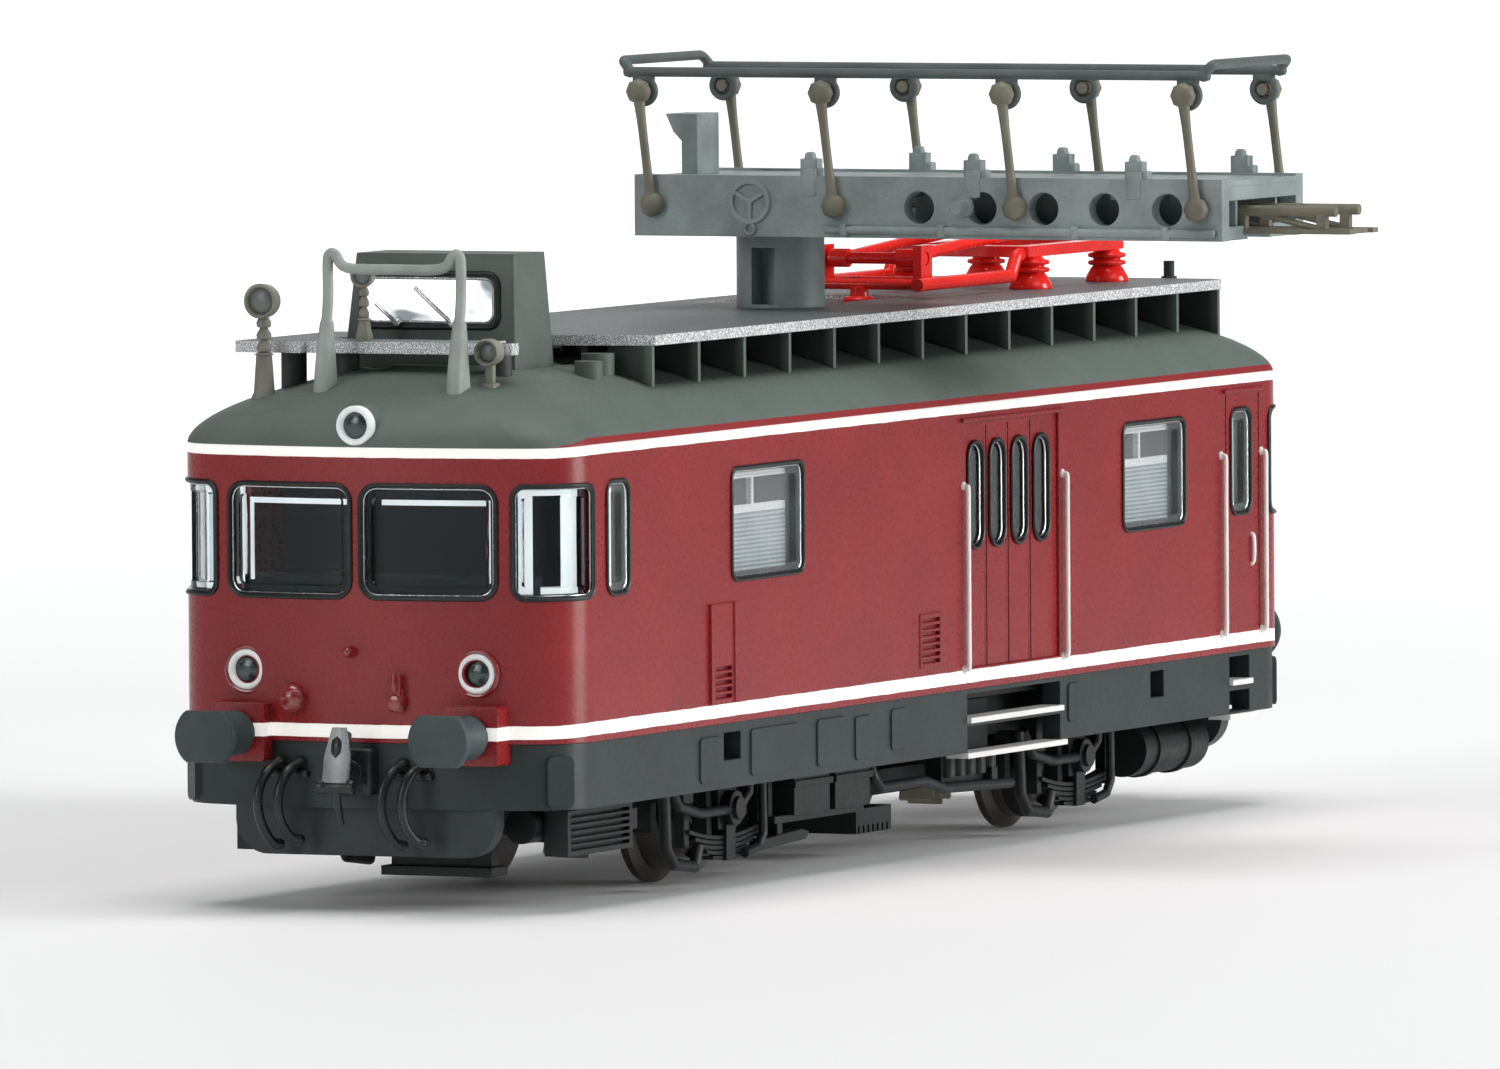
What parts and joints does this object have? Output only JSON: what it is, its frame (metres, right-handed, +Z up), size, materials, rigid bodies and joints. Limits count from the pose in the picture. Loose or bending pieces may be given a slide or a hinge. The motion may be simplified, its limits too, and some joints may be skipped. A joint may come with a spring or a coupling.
{
  "type": "overhead-line maintenance railcar, model",
  "caption": "Model railcar with a roof platform that swings, lifts and folds, a geared motor drive, and a raising pantograph.",
  "frame": {"origin": "rail-top level under the middle of the vehicle", "axes": "+X towards the rear end, the seen cab faces -X; the seen long side faces -Y; +Z up"},
  "size_m": [0.0872, 0.0377, 0.0352],
  "materials": {
    "wine_red_paint": "satin wine-red body paint",
    "roof_grey": "matt olive-grey plastic",
    "walkway_grey": "speckled silver grey",
    "platform_grey": "matt slate-grey plastic",
    "post_olive": "matt olive-brown plastic",
    "pantograph_red": "glossy bright red plastic",
    "clear_glazing": "clear moulded glazing",
    "black_rubber": "soft black",
    "white_plastic": "printed white",
    "interior_grey": "dark grey moulding",
    "underframe_black": "satin black",
    "buffer_grey": "dark grey",
    "bright_ring": "silver printed ring",
    "die_cast": "blackened zinc casting",
    "motor_steel": "turned steel",
    "magnet_black": "ferrite",
    "bronze": "turned brass and bronze",
    "gear_plastic": "acetal",
    "board_green": "solder-masked board"
  },
  "bodies": {
    "chassis": {"chassis_frame": "die_cast", "keeper_plate": "underframe_black", "worm_covers": "gear_plastic", "screws": "motor_steel", "circuit_board": "board_green", "ballast_weights": "die_cast", "light_guides": "clear_glazing", "motor_can": "motor_steel", "motor_magnets": "magnet_black", "motor_brushes": "bronze", "pickup_strips": "bronze", "side_frames": "underframe_black", "underframe_boxes": "underframe_black", "interior": "interior_grey", "body_shell": "wine_red_paint", "folding_doors": "wine_red_paint", "window_seals": "black_rubber", "side_glazing": "clear_glazing", "cab_glazing": "clear_glazing", "window_blinds": "white_plastic", "skirt": "underframe_black", "door_steps": "white_plastic", "roof_shell": "roof_grey", "roof_walkway": "walkway_grey", "walkway_brackets": "roof_grey", "cupola_shell": "roof_grey", "roof_hoop": "roof_grey", "searchlights": "roof_grey", "lamp_rings": "bright_ring", "handrails": "white_plastic", "buffers": "buffer_grey", "screw_coupling": "underframe_black", "brake_hoses": "black_rubber", "pantograph_insulators": "pantograph_red", "pantograph_base": "pantograph_red", "coupler_pocket": "underframe_black"},
    "rotor": {"motor_shaft": "motor_steel", "armature": "motor_steel", "flywheels": "bronze", "worms": "gear_plastic"},
    "front_wheelset": {"axle_front": "gear_plastic", "wheels_front": "motor_steel"},
    "rear_wheelset": {"axle_rear": "gear_plastic", "wheels_rear": "motor_steel", "traction_tyres": "black_rubber"},
    "mast": {"mast": "platform_grey"},
    "platform": {"platform_frame": "platform_grey", "platform_deck": "platform_grey", "control_desk": "platform_grey"},
    "ladder": {"extension_ladder": "post_olive"},
    "posts_1": {"post_pair_1": "post_olive"},
    "posts_2": {"post_pair_2": "post_olive"},
    "posts_3": {"post_pair_3": "post_olive"},
    "posts_4": {"post_pair_4": "post_olive"},
    "top_rail": {"railing_top": "platform_grey"},
    "pantograph_lower": {"pantograph_lower_arm": "pantograph_red"},
    "pantograph_upper": {"pantograph_upper_arm": "pantograph_red"},
    "pantograph_pan": {"pantograph_head": "pantograph_red"},
    "coupler": {"coupler_head": "underframe_black"}
  },
  "joints": [
    {"name": "motor_spin", "type": "hinge", "parent": "chassis", "child": "rotor", "pos_m": [0, 0, 0.0062], "axis": [1, 0, 0], "continuous": true},
    {"name": "front_axle_spin", "type": "hinge", "parent": "chassis", "child": "front_wheelset", "pos_m": [-0.01875, 0, 0.0028], "axis": [0, 1, 0], "continuous": true},
    {"name": "rear_axle_spin", "type": "hinge", "parent": "chassis", "child": "rear_wheelset", "pos_m": [0.01875, 0, 0.0028], "axis": [0, 1, 0], "continuous": true},
    {"name": "mast_lift", "type": "slide", "parent": "chassis", "child": "mast", "axis": [0, 0, 1], "range_m": [-0.0026, 0]},
    {"name": "platform_swing", "type": "hinge", "parent": "mast", "child": "platform", "pos_m": [0.0035, 0, 0.0267], "axis": [0, 0, 1], "range_deg": [-180, 0]},
    {"name": "ladder_slide", "type": "slide", "parent": "platform", "child": "ladder", "axis": [0, -1, 0], "range_m": [-0.0037, 0.0071]},
    {"name": "railing_fold", "type": "hinge", "parent": "platform", "child": "posts_1", "pos_m": [0.0035, 0.00405, 0.0281], "axis": [-1, 0, 0], "range_deg": [-6.9, 53.1]},
    {"name": "railing_fold_2", "type": "hinge", "parent": "platform", "child": "posts_2", "pos_m": [0.0035, -0.00475, 0.0281], "axis": [-1, 0, 0], "range_deg": [-6.9, 53.1]},
    {"name": "railing_fold_3", "type": "hinge", "parent": "platform", "child": "posts_3", "pos_m": [0.0035, -0.01345, 0.0281], "axis": [-1, 0, 0], "range_deg": [-6.9, 53.1]},
    {"name": "railing_fold_4", "type": "hinge", "parent": "platform", "child": "posts_4", "pos_m": [0.0035, -0.0221, 0.0281], "axis": [-1, 0, 0], "range_deg": [-6.9, 53.1]},
    {"name": "top_rail_level", "type": "hinge", "parent": "posts_1", "child": "top_rail", "pos_m": [0.0035, 0.00465, 0.03306], "axis": [-1, 0, 0], "range_deg": [-53.1, 6.9]},
    {"name": "pantograph_raise", "type": "hinge", "parent": "chassis", "child": "pantograph_lower", "pos_m": [0.0135, 0, 0.0252], "axis": [0, -1, 0], "range_deg": [0, 32]},
    {"name": "pantograph_elbow", "type": "hinge", "parent": "pantograph_lower", "child": "pantograph_upper", "pos_m": [0.03097, 0, 0.02627], "axis": [0, -1, 0], "range_deg": [-64, 0]},
    {"name": "pantograph_pan_level", "type": "hinge", "parent": "pantograph_upper", "child": "pantograph_pan", "pos_m": [0.0135, 0, 0.02734], "axis": [0, -1, 0], "range_deg": [0, 32]},
    {"name": "coupler_swing", "type": "hinge", "parent": "chassis", "child": "coupler", "pos_m": [0.0315, 0, 0.0051], "axis": [0, 0, 1], "range_deg": [-12, 12]}
  ],
  "couplings": [
    {"joint": "front_axle_spin", "follows": "motor_spin", "ratio": -0.071429},
    {"joint": "rear_axle_spin", "follows": "motor_spin", "ratio": -0.071429},
    {"joint": "railing_fold_2", "follows": "railing_fold", "ratio": 1},
    {"joint": "railing_fold_3", "follows": "railing_fold", "ratio": 1},
    {"joint": "railing_fold_4", "follows": "railing_fold", "ratio": 1},
    {"joint": "top_rail_level", "follows": "railing_fold", "ratio": -1},
    {"joint": "pantograph_elbow", "follows": "pantograph_raise", "ratio": -2},
    {"joint": "pantograph_pan_level", "follows": "pantograph_raise", "ratio": 1}
  ]
}
